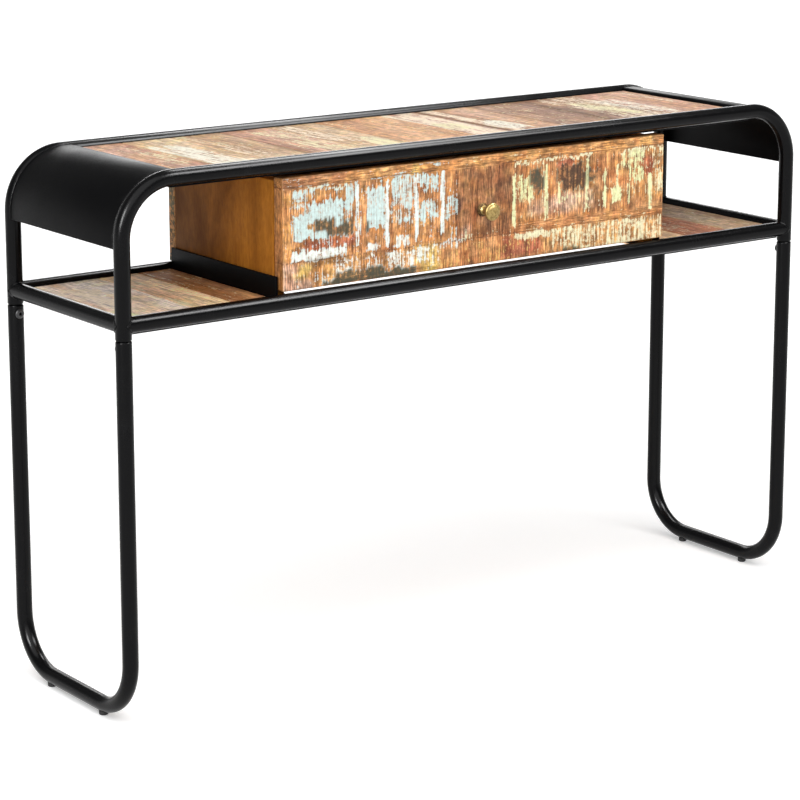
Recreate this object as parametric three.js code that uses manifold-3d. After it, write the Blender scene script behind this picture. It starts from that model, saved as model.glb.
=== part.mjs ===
// Industrial console table: a bent steel tube frame, short reclaimed planks and one drawer.
// Millimetres, +Z up. The front is -Y. The origin is on the floor, under the middle of the overall box.

import * as THREE from 'three';
import { mergeVertices } from 'three/addons/utils/BufferGeometryUtils.js';
import Module from 'manifold-3d';

const wasm = await Module();
wasm.setup();

// ---------------------------------------------------------------- driving dimensions

const LENGTH = 1200;
const DEPTH = 310;
const HEIGHT = 750;
const FIT = 0.3;

const TUBE_R = 11;
const TUBE_WALL = 1.5;
const BEND_R = 77;
const BEND_STEPS = 8;
const TUBE_SIDES = 20;
const BORE_SIDES = 8;
const SHELF_AXIS_Z = 552;
const JOINT_Z = 532;
const JOINT_GROOVE = 1.2;
const COPE_REACH = 30;
const COPE_SIDES = 24;
const HOLE_SIDES = 12;
const HOLE_OVERRUN = 2;

const GLIDE_HEIGHT = 5;
const GLIDE_R = 6.5;
const GLIDE_SADDLE = 1.5;
const GLIDE_SADDLE_SIDES = 32;
const GLIDE_SPREAD = 70;
const GLIDE_PEG_R = 2.5;
const GLIDE_PEG_START = 1;
const GLIDE_PEG_LENGTH = 9;

const BOARD_THICK = 14;
const BOARD_ABOVE_AXIS = 3;
const BOARD_EASE = 1;
const BOARD_GAP = 0.5;
const END_GAP = 0.5;

// Widths of the planks from left to right, scaled to fill the row that they lie in.
const TOP_BOARDS = [76, 80, 80, 82, 83, 118, 65, 96, 96, 112, 107];
const LEFT_SHELF_BOARDS = [115, 62, 57];
const RIGHT_SHELF_BOARDS = [72, 84, 78];

const LEDGE_THICK = 3;
const LEDGE_OUTER = 4;
const LEDGE_INNER = 26;

const SHEET_THICK = 2;
const SHEET_ABOVE_AXIS = 8;
const SHEET_FLAT = 14;
const SHEET_SKIRT = 10;
const SHEET_LIP = 18;
const SHEET_STEPS = 14;

const SPIGOT_R = 8.4;
const SPIGOT_LENGTH = 76;
const SCREW_DROP = 12;
const SCREW_R = 3;
const SCREW_LENGTH = 16;
const SCREW_HEAD_R = 6.6;
const SCREW_HEAD_HEIGHT = 3;
const SCREW_HEAD_EDGE = 0.8;
const SCREW_DOME_FLAT = 0.55;
const SCREW_DOME_STEPS = 4;
const SCREW_SIDES = 16;
const SCREW_SOCKET_R = 2.9;
const SCREW_SOCKET_DEPTH = 1.9;

const FRONT_WIDTH = 678;
const FRONT_THICK = 22;
const FRONT_BOTTOM = 565.5;
const FRONT_TOP = 720;
const FRONT_EASE = 1.5;

const PANEL_THICK = 18;
const PANEL_TOP = 715;
const PANEL_GAP = 1;
const BACK_THICK = 17;

const ANGLE_HEIGHT = 33;
const ANGLE_WIDTH = 30;
const ANGLE_THICK = 3.5;

const DRAWER_PLAY = 1.5;
const DRAWER_SIDE = 14;
const DRAWER_DEPTH = 232;
const DRAWER_BOTTOM_Z = 575;
const DRAWER_TOP_Z = 703;
const DRAWER_FLOOR = 6;

const RUNNER_HEIGHT = 16;
const RUNNER_WIDTH = 9;
const RUNNER_Z = 633;
const RUNNER_CLEAR = 1;
const RUNNER_FRONT_GAP = 4;
const RUNNER_REAR_GAP = 2;
const GROOVE_START = 2;

const KNOB_R = 12.5;
const KNOB_REACH = 27;
const KNOB_BORE_END = 21;
const KNOB_SIDES = 28;
const ROSETTE_R = 10;
const ROSETTE_THICK = 3;
const ROSETTE_SIDES = 24;
const KNOB_SCREW_R = 2;

// Outlines of the turned pieces: radius, then height.
const KNOB_OUTLINE = [
  [0, KNOB_REACH], [5.6, 26.5], [10.5, 24.8], [KNOB_R, 22.3], [KNOB_R, 19.3],
  [10.7, 17.3], [6.5, 15.8], [4.8, 12.3], [5.2, 7.3], [6.5, ROSETTE_THICK + FIT],
];
const ROSETTE_OUTLINE = [[7, ROSETTE_THICK], [9.3, 2.1], [ROSETTE_R, 0.75], [ROSETTE_R, 0]];
const KNOB_SCREW_HEAD = [[4.2, 0], [3.9, 1.4], [2.4, 2.4], [0, 2.6]];

// ---------------------------------------------------------------- worked-out places

const POST_X = LENGTH / 2 - TUBE_R;
const POST_Y = DEPTH / 2 - TUBE_R;
const TOP_AXIS_Z = HEIGHT - TUBE_R;
const FOOT_AXIS_Z = GLIDE_HEIGHT + TUBE_R;
const BEND_X = POST_X - BEND_R;
const SHEET_LIP_X = BEND_X - SHEET_FLAT;
const RAIL_INNER_Y = POST_Y - TUBE_R;
const BOARD_END_Y = RAIL_INNER_Y - END_GAP;

const FRONT_FACE_Y = -POST_Y;
const FRONT_BACK_Y = FRONT_FACE_Y + FRONT_THICK;
const PANEL_OUTER_X = FRONT_WIDTH / 2 + 1;
const PANEL_INNER_X = PANEL_OUTER_X - PANEL_THICK;
const ANGLE_OUTER_X = PANEL_OUTER_X + FIT + ANGLE_THICK;
const KNOB_Z = (FRONT_BOTTOM + FRONT_TOP) / 2;
const SCREW_Z = JOINT_Z - SCREW_DROP;

const PANEL_FRONT_Y = FRONT_BACK_Y + PANEL_GAP;
const PANEL_BOTTOM = SHELF_AXIS_Z + ANGLE_THICK + FIT;
const BACK_FACE_Y = POST_Y - BACK_THICK;
const BACK_BOTTOM = SHELF_AXIS_Z + TUBE_R + PANEL_GAP;

const DRAWER_OUTER_X = PANEL_INNER_X - DRAWER_PLAY;
const DRAWER_INNER_X = DRAWER_OUTER_X - DRAWER_SIDE;
const DRAWER_START_Y = FRONT_BACK_Y + FIT;
const DRAWER_REAR_Y = FRONT_BACK_Y + DRAWER_DEPTH;
const WALL_BOTTOM = DRAWER_BOTTOM_Z + DRAWER_FLOOR + FIT;

// ---------------------------------------------------------------- materials

function finish(color, roughness, metalness) {
  return new THREE.MeshStandardMaterial({ color, roughness, metalness });
}

const blackSteel = finish(0x161718, 0.42, 0.3);
const blackPlastic = finish(0x101010, 0.7, 0);
const screwSteel = finish(0x2a2a2b, 0.4, 0.9);
const brass = finish(0x8d7a48, 0.4, 0.9);
const darkBrass = finish(0x3a2f26, 0.5, 0.8);
const plainWood = finish(0x9c6b42, 0.6, 0);
const paintedFront = finish(0xb7935a, 0.6, 0);
const boardWoods = [0xc59a72, 0xd9cbb0, 0xb98465, 0xcaa27e, 0xc98f6b].map((c) => finish(c, 0.55, 0));
const shelfWoods = [0xb79a86, 0xa9805f, 0xc3a58c].map((c) => finish(c, 0.55, 0));

// ---------------------------------------------------------------- shape helpers

const table = new THREE.Group();

function add(name, geometry, material, position = [0, 0, 0]) {
  const mesh = new THREE.Mesh(geometry, material);
  mesh.name = name;
  mesh.position.set(...position);
  table.add(mesh);
  return mesh;
}

// A box given by its lowest and highest corners.
function boxBetween([x0, y0, z0], [x1, y1, z1]) {
  const box = new THREE.BoxGeometry(x1 - x0, y1 - y0, z1 - z0);
  return box.translate((x0 + x1) / 2, (y0 + y1) / 2, (z0 + z1) / 2);
}

// The lower and the higher of two places, in that order.
const span = (a, b) => [Math.min(a, b), Math.max(a, b)];

// A cylinder along X, Y or Z between two places on that axis.
function roundBar(axis, radius, [from, to], sides = TUBE_SIDES) {
  const bar = new THREE.CylinderGeometry(radius, radius, to - from, sides);
  bar.translate(0, (from + to) / 2, 0);
  if (axis === 'x') bar.rotateZ(-Math.PI / 2);
  if (axis === 'z') bar.rotateX(Math.PI / 2);
  return bar;
}

// A body of revolution about Y, from points of radius and height.
function turned(points, sides) {
  return new THREE.LatheGeometry(points.map(([radius, y]) => new THREE.Vector2(radius, y)), sides);
}

function toSolid(geometry) {
  const bare = geometry.clone();
  bare.deleteAttribute('normal');
  bare.deleteAttribute('uv');
  const merged = mergeVertices(bare, 1e-4);
  return new wasm.Manifold(new wasm.Mesh({
    numProp: 3,
    vertProperties: new Float32Array(merged.attributes.position.array),
    triVerts: new Uint32Array(merged.index.array),
  }));
}

function toGeometry(solid) {
  const mesh = solid.getMesh();
  const geometry = new THREE.BufferGeometry();
  geometry.setAttribute('position', new THREE.BufferAttribute(new Float32Array(mesh.vertProperties), 3));
  geometry.setIndex(new THREE.BufferAttribute(new Uint32Array(mesh.triVerts), 1));
  geometry.computeVertexNormals();
  return geometry;
}

// Cuts every cutter out of a body.
function cut(body, ...cutters) {
  const solid = cutters.reduce((rest, cutter) => rest.subtract(toSolid(cutter)), toSolid(body));
  return toGeometry(solid);
}

// The centre line of a tube: straight runs with round bends, stepped only where it turns.
class BentAxis extends THREE.Curve {
  constructor(points) {
    super();
    this.points = points;
    this.last = points.length - 1;
  }

  getPoint(t, target = new THREE.Vector3()) {
    const at = Math.min(t * this.last, this.last - 1e-9);
    const i = Math.floor(at);
    return target.lerpVectors(this.points[i], this.points[i + 1], at - i);
  }

  getPointAt(u, target) {
    return this.getPoint(u, target);
  }

  getTangentAt(u, target = new THREE.Vector3()) {
    const i = Math.round(u * this.last);
    const before = this.points[Math.max(i - 1, 0)];
    const after = this.points[Math.min(i + 1, this.last)];
    return target.subVectors(after, before).normalize();
  }
}

// Rounds the corners of a polyline with arcs of the tube's bend radius.
function roundedRoute(corners, radius, steps) {
  const route = [corners[0]];
  for (let i = 1; i < corners.length - 1; i += 1) {
    const back = new THREE.Vector3().subVectors(corners[i - 1], corners[i]).normalize();
    const on = new THREE.Vector3().subVectors(corners[i + 1], corners[i]).normalize();
    const centre = corners[i].clone().addScaledVector(back, radius).addScaledVector(on, radius);
    for (let k = 0; k <= steps; k += 1) {
      const a = (Math.PI / 2) * (k / steps);
      const point = centre.clone().addScaledVector(on, -radius * Math.cos(a));
      route.push(point.addScaledVector(back, -radius * Math.sin(a)));
    }
  }
  route.push(corners[corners.length - 1]);
  return route;
}

function ringSection(outer, inner, outerSides, innerSides) {
  const ring = (radius, sides, path) => {
    for (let i = 0; i < sides; i += 1) {
      const a = (2 * Math.PI * i) / sides;
      path[i ? 'lineTo' : 'moveTo'](radius * Math.cos(a), radius * Math.sin(a));
    }
    path.closePath();
    return path;
  };
  const shape = ring(outer, outerSides, new THREE.Shape());
  shape.holes.push(ring(inner, innerSides, new THREE.Path()));
  return shape;
}

const TUBE_SECTION = ringSection(TUBE_R, TUBE_R - TUBE_WALL, TUBE_SIDES, BORE_SIDES);

function bentTube(corners) {
  const points = corners.map((corner) => new THREE.Vector3(...corner));
  const axis = new BentAxis(roundedRoute(points, BEND_R, BEND_STEPS));
  return new THREE.ExtrudeGeometry(TUBE_SECTION, { steps: axis.last, extrudePath: axis });
}

function straightTube(from, to) {
  const axis = new BentAxis([new THREE.Vector3(...from), new THREE.Vector3(...to)]);
  return new THREE.ExtrudeGeometry(TUBE_SECTION, { steps: 1, extrudePath: axis });
}

// A section drawn in X and Z and extruded along Y.
function extrudeAlongY(outline, [y0, y1]) {
  const shape = new THREE.Shape(outline.map(([x, z]) => new THREE.Vector2(x, z)));
  const body = new THREE.ExtrudeGeometry(shape, { depth: y1 - y0, bevelEnabled: false });
  return body.rotateX(Math.PI / 2).translate(0, y1, 0);
}

// ---------------------------------------------------------------- steel frame

function makeHoops() {
  for (const [name, y] of [['front_hoop', -POST_Y], ['rear_hoop', POST_Y]]) {
    const foot = JOINT_Z + JOINT_GROOVE / 2;
    add(name, bentTube([
      [-POST_X, y, foot], [-POST_X, y, TOP_AXIS_Z], [POST_X, y, TOP_AXIS_Z], [POST_X, y, foot],
    ]), blackSteel);
  }
}

// Straight rails: the long ones are coped to the round posts, and the side ones to both.
function makeLowerRails() {
  const cope = TUBE_R + FIT;
  const around = (place) => [place - COPE_REACH, place + COPE_REACH];
  const post = (x, y) => roundBar('z', cope, around(SHELF_AXIS_Z), COPE_SIDES).translate(x, y, 0);
  for (const [name, y] of [['front_lower_rail', -POST_Y], ['rear_lower_rail', POST_Y]]) {
    const rail = straightTube([-POST_X, y, SHELF_AXIS_Z], [POST_X, y, SHELF_AXIS_Z]);
    add(name, cut(rail, post(-POST_X, y), post(POST_X, y)), blackSteel);
  }
  for (const [name, x] of [['left_lower_rail', -POST_X], ['right_lower_rail', POST_X]]) {
    const rail = straightTube([x, -POST_Y, SHELF_AXIS_Z], [x, POST_Y, SHELF_AXIS_Z]);
    const longRail = (y) => roundBar('x', cope, around(x), COPE_SIDES).translate(0, y, SHELF_AXIS_Z);
    const cutters = [-POST_Y, POST_Y].flatMap((y) => [post(x, y), longRail(y)]);
    add(name, cut(rail, ...cutters), blackSteel);
  }
}

// Curved sheets that close the bends, with a flat edge and a lip folded down against the last plank.
function makeEndSheets() {
  const outer = BEND_R + SHEET_ABOVE_AXIS;
  const inner = outer - SHEET_THICK;
  const centreZ = TOP_AXIS_Z - BEND_R;
  const arc = (radius, i) => {
    const a = (Math.PI / 2) * (i / SHEET_STEPS);
    return [-BEND_X - radius * Math.sin(a), centreZ + radius * Math.cos(a)];
  };
  const lipEnd = centreZ + outer - SHEET_LIP;
  const skirtEnd = centreZ - SHEET_SKIRT;
  const outline = [[-SHEET_LIP_X, lipEnd], [-SHEET_LIP_X, centreZ + outer]];
  for (let i = 0; i <= SHEET_STEPS; i += 1) outline.push(arc(outer, i));
  outline.push([-BEND_X - outer, skirtEnd], [-BEND_X - inner, skirtEnd]);
  for (let i = SHEET_STEPS; i >= 0; i -= 1) outline.push(arc(inner, i));
  const lipBack = -SHEET_LIP_X - SHEET_THICK;
  outline.push([lipBack, centreZ + inner], [lipBack, lipEnd]);
  const mirrored = outline.map(([x, z]) => [-x, z]).reverse();
  const y = RAIL_INNER_Y - FIT;
  add('left_end_sheet', extrudeAlongY(outline, [-y, y]), blackSteel);
  add('right_end_sheet', extrudeAlongY(mirrored, [-y, y]), blackSteel);
}

// Flat bars under the rails, on which the planks rest.
function makeLedges() {
  const ledge = (axisZ, halfLength, side) => {
    const top = axisZ + BOARD_ABOVE_AXIS - BOARD_THICK - FIT;
    const [y0, y1] = span(side * (POST_Y - LEDGE_OUTER), side * (POST_Y - LEDGE_INNER));
    return boxBetween([-halfLength, y0, top - LEDGE_THICK], [halfLength, y1, top]);
  };
  const shelfHalf = POST_X - TUBE_R - 2 * FIT;
  add('front_top_ledge', ledge(TOP_AXIS_Z, BEND_X, -1), blackSteel);
  add('rear_top_ledge', ledge(TOP_AXIS_Z, BEND_X, 1), blackSteel);
  add('front_shelf_ledge', ledge(SHELF_AXIS_Z, shelfHalf, -1), blackSteel);
  add('rear_shelf_ledge', ledge(SHELF_AXIS_Z, shelfHalf, 1), blackSteel);
}

// Steel angles across the frame, which carry the drawer housing.
function makeDrawerAngles() {
  const inner = ANGLE_OUTER_X - ANGLE_THICK;
  const z0 = SHELF_AXIS_Z;
  const outline = [
    [ANGLE_OUTER_X - ANGLE_WIDTH, z0], [ANGLE_OUTER_X, z0], [ANGLE_OUTER_X, z0 + ANGLE_HEIGHT],
    [inner, z0 + ANGLE_HEIGHT], [inner, z0 + ANGLE_THICK], [ANGLE_OUTER_X - ANGLE_WIDTH, z0 + ANGLE_THICK],
  ];
  const mirrored = outline.map(([x, z]) => [-x, z]).reverse();
  const y = RAIL_INNER_Y - FIT;
  add('left_drawer_angle', extrudeAlongY(mirrored, [-y, y]), blackSteel);
  add('right_drawer_angle', extrudeAlongY(outline, [-y, y]), blackSteel);
}

// ---------------------------------------------------------------- legs

function makeLegLoops() {
  for (const [name, x] of [['left_leg_loop', -POST_X], ['right_leg_loop', POST_X]]) {
    const top = JOINT_Z - JOINT_GROOVE / 2;
    const tube = bentTube([
      [x, -POST_Y, top], [x, -POST_Y, FOOT_AXIS_Z], [x, POST_Y, FOOT_AXIS_Z], [x, POST_Y, top],
    ]);
    const pegHoles = [-GLIDE_SPREAD, GLIDE_SPREAD].map(
      (y) => roundBar('z', GLIDE_PEG_R + FIT, [0, FOOT_AXIS_Z], HOLE_SIDES).translate(x, y, 0),
    );
    const holeFrom = RAIL_INNER_Y - HOLE_OVERRUN;
    const holeTo = RAIL_INNER_Y + 2 * TUBE_WALL + HOLE_OVERRUN;
    const screwHoles = [-1, 1].map((side) => {
      const hole = roundBar('y', SCREW_R + FIT, span(side * holeFrom, side * holeTo), HOLE_SIDES);
      return hole.translate(x, 0, SCREW_Z);
    });
    add(name, cut(tube, ...pegHoles, ...screwHoles), blackSteel);
  }
}

// A button-head screw along +Y, with its head's underside at the origin.
function buttonScrew() {
  const dome = [];
  const rise = SCREW_HEAD_HEIGHT - SCREW_HEAD_EDGE;
  for (let i = 0; i <= SCREW_DOME_STEPS; i += 1) {
    const a = (Math.PI / 2) * (i / SCREW_DOME_STEPS);
    const radius = SCREW_HEAD_R * (1 - (1 - SCREW_DOME_FLAT) * Math.sin(a) ** 3);
    dome.push([radius, SCREW_HEAD_EDGE + rise * Math.sin(a)]);
  }
  const shank = [[0, -SCREW_LENGTH], [SCREW_R, -SCREW_LENGTH], [SCREW_R, 0], [SCREW_HEAD_R, 0]];
  const body = turned([...shank, ...dome, [0, SCREW_HEAD_HEIGHT]], SCREW_SIDES);
  const socketReach = [SCREW_HEAD_HEIGHT - SCREW_SOCKET_DEPTH, SCREW_HEAD_HEIGHT + HOLE_OVERRUN];
  return cut(body, roundBar('y', SCREW_SOCKET_R, socketReach, 6));
}

function makeLegFasteners() {
  const screw = buttonScrew();
  for (const [end, x] of [['left', -POST_X], ['right', POST_X]]) {
    for (const [row, side] of [['front', -1], ['rear', 1]]) {
      const headY = side * (POST_Y - TUBE_R - FIT);
      const hole = roundBar('y', SCREW_R + FIT, [-TUBE_R, TUBE_R], HOLE_SIDES).translate(0, 0, SCREW_Z);
      const half = SPIGOT_LENGTH / 2;
      const spigot = cut(roundBar('z', SPIGOT_R, [JOINT_Z - half, JOINT_Z + half]), hole);
      add(`${row}_${end}_spigot`, spigot, blackSteel, [x, side * POST_Y, 0]);
      const mesh = add(`${row}_${end}_leg_screw`, screw, screwSteel, [x, headY, SCREW_Z]);
      if (side > 0) mesh.rotation.z = Math.PI;
    }
  }
}

// Plastic glides with a saddle that hugs the foot bar and a peg into it.
function makeGlides() {
  const pad = roundBar('z', GLIDE_R, [0, GLIDE_HEIGHT + GLIDE_SADDLE]);
  const bar = roundBar('y', TUBE_R + FIT, [-2 * GLIDE_R, 2 * GLIDE_R], GLIDE_SADDLE_SIDES);
  const peg = roundBar('z', GLIDE_PEG_R, [GLIDE_PEG_START, GLIDE_PEG_START + GLIDE_PEG_LENGTH], HOLE_SIDES);
  const saddle = cut(pad, bar.translate(0, 0, FOOT_AXIS_Z));
  const glide = toGeometry(toSolid(saddle).add(toSolid(peg)));
  for (const [end, x] of [['left', -POST_X], ['right', POST_X]]) {
    for (const [row, y] of [['front', -GLIDE_SPREAD], ['rear', GLIDE_SPREAD]]) {
      add(`${row}_${end}_glide`, glide, blackPlastic, [x, y, 0]);
    }
  }
}

// ---------------------------------------------------------------- planks

// A plank that runs front to back, with eased upper arrises.
function plank(x0, x1, top) {
  const e = BOARD_EASE;
  const bottom = top - BOARD_THICK;
  const outline = [[x0, bottom], [x1, bottom], [x1, top - e], [x1 - e, top], [x0 + e, top], [x0, top - e]];
  return extrudeAlongY(outline, [-BOARD_END_Y, BOARD_END_Y]);
}

function makePlankRow(prefix, widths, [x0, x1], top, woods) {
  const scale = (x1 - x0 + BOARD_GAP) / widths.reduce((sum, width) => sum + width);
  let start = x0;
  widths.forEach((width, i) => {
    const end = start + width * scale;
    add(`${prefix}_${i + 1}`, plank(start, end - BOARD_GAP, top), woods[i % woods.length]);
    start = end;
  });
}

function makePlanks() {
  const topHalf = SHEET_LIP_X - END_GAP;
  const shelfOuter = POST_X - TUBE_R - END_GAP;
  const shelfInner = ANGLE_OUTER_X + END_GAP;
  const shelfTop = SHELF_AXIS_Z + BOARD_ABOVE_AXIS;
  makePlankRow('top_plank', TOP_BOARDS, [-topHalf, topHalf], TOP_AXIS_Z + BOARD_ABOVE_AXIS, boardWoods);
  makePlankRow('left_shelf_plank', LEFT_SHELF_BOARDS, [-shelfOuter, -shelfInner], shelfTop, shelfWoods);
  makePlankRow('right_shelf_plank', RIGHT_SHELF_BOARDS, [shelfInner, shelfOuter], shelfTop, shelfWoods);
}

// ---------------------------------------------------------------- drawer housing

function makeHousing() {
  for (const [name, side] of [['left', -1], ['right', 1]]) {
    const [x0, x1] = span(side * PANEL_INNER_X, side * PANEL_OUTER_X);
    const panel = boxBetween([x0, PANEL_FRONT_Y, PANEL_BOTTOM], [x1, BACK_FACE_Y - FIT, PANEL_TOP]);
    add(`housing_${name}_side`, panel, plainWood);
    const runnerOuter = PANEL_INNER_X - FIT;
    const [r0, r1] = span(side * runnerOuter, side * (runnerOuter - RUNNER_WIDTH));
    const runner = boxBetween(
      [r0, PANEL_FRONT_Y + RUNNER_FRONT_GAP, RUNNER_Z],
      [r1, BACK_FACE_Y - RUNNER_REAR_GAP, RUNNER_Z + RUNNER_HEIGHT],
    );
    add(`${name}_drawer_runner`, runner, plainWood);
  }
  const back = boxBetween([-PANEL_OUTER_X, BACK_FACE_Y, BACK_BOTTOM], [PANEL_OUTER_X, POST_Y, PANEL_TOP]);
  add('housing_back', back, plainWood);
}

// ---------------------------------------------------------------- drawer

function drawerFront() {
  const e = FRONT_EASE;
  const halfWidth = FRONT_WIDTH / 2 - e;
  const halfHeight = (FRONT_TOP - FRONT_BOTTOM) / 2 - e;
  const face = new THREE.Shape([
    new THREE.Vector2(-halfWidth, -halfHeight), new THREE.Vector2(halfWidth, -halfHeight),
    new THREE.Vector2(halfWidth, halfHeight), new THREE.Vector2(-halfWidth, halfHeight),
  ]);
  const eased = { depth: FRONT_THICK - 2 * e, bevelSize: e, bevelThickness: e, bevelSegments: 1 };
  const board = new THREE.ExtrudeGeometry(face, eased);
  board.rotateX(Math.PI / 2).translate(0, FRONT_BACK_Y - e, KNOB_Z);
  const boreReach = [FRONT_FACE_Y - HOLE_OVERRUN, FRONT_BACK_Y + HOLE_OVERRUN];
  const bore = roundBar('y', KNOB_SCREW_R + FIT, boreReach, HOLE_SIDES);
  return cut(board, bore.translate(0, 0, KNOB_Z));
}

// A drawer side with a groove, open at the rear, that hangs on the runner.
function drawerSide(side) {
  const [x0, x1] = span(side * DRAWER_INNER_X, side * DRAWER_OUTER_X);
  const wall = boxBetween([x0, DRAWER_START_Y, WALL_BOTTOM], [x1, DRAWER_REAR_Y, DRAWER_TOP_Z]);
  const depth = RUNNER_WIDTH - DRAWER_PLAY + FIT + RUNNER_CLEAR;
  const [g0, g1] = span(side * (DRAWER_OUTER_X - depth), side * (DRAWER_OUTER_X + HOLE_OVERRUN));
  const groove = boxBetween(
    [g0, PANEL_FRONT_Y + GROOVE_START, RUNNER_Z - RUNNER_CLEAR],
    [g1, DRAWER_REAR_Y + HOLE_OVERRUN, RUNNER_Z + RUNNER_HEIGHT + RUNNER_CLEAR],
  );
  return cut(wall, groove);
}

function makeDrawer() {
  add('drawer_front', drawerFront(), paintedFront);
  add('drawer_left_side', drawerSide(-1), plainWood);
  add('drawer_right_side', drawerSide(1), plainWood);
  const between = DRAWER_INNER_X - FIT;
  add('drawer_back', boxBetween(
    [-between, DRAWER_REAR_Y - DRAWER_SIDE, WALL_BOTTOM],
    [between, DRAWER_REAR_Y, DRAWER_TOP_Z],
  ), plainWood);
  add('drawer_floor', boxBetween(
    [-DRAWER_OUTER_X, DRAWER_START_Y, DRAWER_BOTTOM_Z],
    [DRAWER_OUTER_X, DRAWER_REAR_Y, DRAWER_BOTTOM_Z + DRAWER_FLOOR],
  ), plainWood);
}

// The turned knob, its rosette and the screw from inside the drawer, all along Y.
function makeKnob() {
  const faceY = FRONT_FACE_Y - FIT;
  const bore = KNOB_SCREW_R + FIT;
  const toFront = (outline) => outline.map(([radius, height]) => [radius, -height]);
  const ring = [[bore, ROSETTE_THICK], ...ROSETTE_OUTLINE, [bore, 0], [bore, ROSETTE_THICK]];
  add('knob_rosette', turned(toFront(ring), ROSETTE_SIDES), darkBrass, [0, faceY, KNOB_Z]);

  const foot = ROSETTE_THICK + FIT;
  const body = [...KNOB_OUTLINE, [bore, foot], [bore, KNOB_BORE_END], [0, KNOB_BORE_END]];
  add('knob', turned(toFront(body), KNOB_SIDES), brass, [0, faceY, KNOB_Z]);

  const headY = FRONT_BACK_Y + FIT;
  const tip = faceY - KNOB_BORE_END + FIT - headY;
  const shank = [[0, tip], [KNOB_SCREW_R, tip], [KNOB_SCREW_R, 0]];
  add('knob_screw', turned([...shank, ...KNOB_SCREW_HEAD], SCREW_SIDES), screwSteel, [0, headY, KNOB_Z]);
}

makeHoops();
makeLowerRails();
makeEndSheets();
makeLedges();
makeDrawerAngles();
makeLegLoops();
makeLegFasteners();
makeGlides();
makePlanks();
makeHousing();
makeDrawer();
makeKnob();

// The knob stands proud of the frame, so the middle of the overall box is a little forward of it.
table.position.y = (KNOB_REACH - TUBE_R + FIT) / 2;

export default table;
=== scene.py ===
import math
from collections import namedtuple

import bmesh
import bpy
import numpy as np
from mathutils import Euler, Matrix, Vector


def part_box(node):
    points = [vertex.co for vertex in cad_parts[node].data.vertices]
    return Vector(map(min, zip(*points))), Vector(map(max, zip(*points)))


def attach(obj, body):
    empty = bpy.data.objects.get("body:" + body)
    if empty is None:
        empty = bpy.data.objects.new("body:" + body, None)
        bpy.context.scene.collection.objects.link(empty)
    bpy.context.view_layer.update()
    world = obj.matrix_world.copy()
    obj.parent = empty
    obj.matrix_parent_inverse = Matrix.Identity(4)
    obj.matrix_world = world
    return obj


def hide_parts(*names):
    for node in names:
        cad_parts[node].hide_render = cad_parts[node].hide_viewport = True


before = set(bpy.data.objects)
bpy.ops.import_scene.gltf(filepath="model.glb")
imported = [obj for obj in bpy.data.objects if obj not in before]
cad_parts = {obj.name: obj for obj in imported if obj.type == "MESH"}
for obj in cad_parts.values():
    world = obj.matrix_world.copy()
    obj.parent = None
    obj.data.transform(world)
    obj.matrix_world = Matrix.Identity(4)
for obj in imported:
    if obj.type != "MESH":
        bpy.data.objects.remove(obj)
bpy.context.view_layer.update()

# Shapes are worked out in millimetres, in the CAD frame: +Z up, the front is -Y.
MM = 0.001


# ---------------- measures taken from the frame

def node_box(node):
    """Lowest and highest corner of a CAD node, in millimetres."""
    low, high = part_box(node)
    return np.array(low) / MM, np.array(high) / MM


HOOP_LOW, HOOP_HIGH = node_box("front_hoop")
REAR_LOW, REAR_HIGH = node_box("rear_hoop")
LOOP_LOW = node_box("left_leg_loop")[0]
RAIL_LOW, RAIL_HIGH = node_box("front_lower_rail")
SHEET_LOW, SHEET_HIGH = node_box("left_end_sheet")
FRONT_LOW, FRONT_HIGH = node_box("drawer_front")
TOP_LOW = node_box("top_plank_1")[0]
LEDGE_HIGH = node_box("front_top_ledge")[1]

TUBE_R = (HOOP_HIGH[1] - HOOP_LOW[1]) / 2
FRONT_Y = (HOOP_LOW[1] + HOOP_HIGH[1]) / 2
REAR_Y = (REAR_LOW[1] + REAR_HIGH[1]) / 2
POST_X = HOOP_HIGH[0] - TUBE_R
TOP_Z = HOOP_HIGH[2] - TUBE_R
RAIL_Z = (RAIL_LOW[2] + RAIL_HIGH[2]) / 2
FOOT_Z = LOOP_LOW[2] + TUBE_R
BEND_X = LEDGE_HIGH[0]
LIP_X = -SHEET_HIGH[0]
BEND_R = POST_X - BEND_X
BEND_Z = TOP_Z - BEND_R
SHEET_R = SHEET_HIGH[2] - BEND_Z
ROWS = {"front": FRONT_Y, "rear": REAR_Y}
POSTS = {"left": -POST_X, "right": POST_X}

# What the boxes of the CAD nodes don't say: walls, rounded edges and how finely curves are cut.
TUBE_WALL = 1.5
TUBE_SIDES = 48
BEND_STEPS = 28
LIP_STEPS = 4
LIP_R = 1.4
SHEET_THICK = 2.0
SHEET_LIP = 18
SHEET_CORNER = 3.0
SHEET_CORNER_STEPS = 6
SHEET_STEPS = 40
WELD_R = 1.5
WELD_RIPPLE = 2.4
WELD_SIDES = 10
SEAM_STEPS = 160
ANGLE_THICK = 3.5
SPIGOT_CHAMFER = 1.5
SCREW_HEAD = 3.0
SCREW_SHANK_R = 3
GROOVE_DEPTH = 8.8
GROOVE_PLAY = 1
BOARD_EASE = 1.2
PLANK_CELL = (5.0, 6.0, 5.0)
MERGE_REACH = 0.002
BEVEL_FROM = math.radians(30)
NOISE_SIZE = 32

X = np.array([1.0, 0.0, 0.0])
Y = np.array([0.0, 1.0, 0.0])
Z = np.array([0.0, 0.0, 1.0])


# ---------------- mesh helpers

def add_object(name, data):
    made = bpy.data.objects.new(name, data)
    bpy.context.scene.collection.objects.link(made)
    return made


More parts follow.
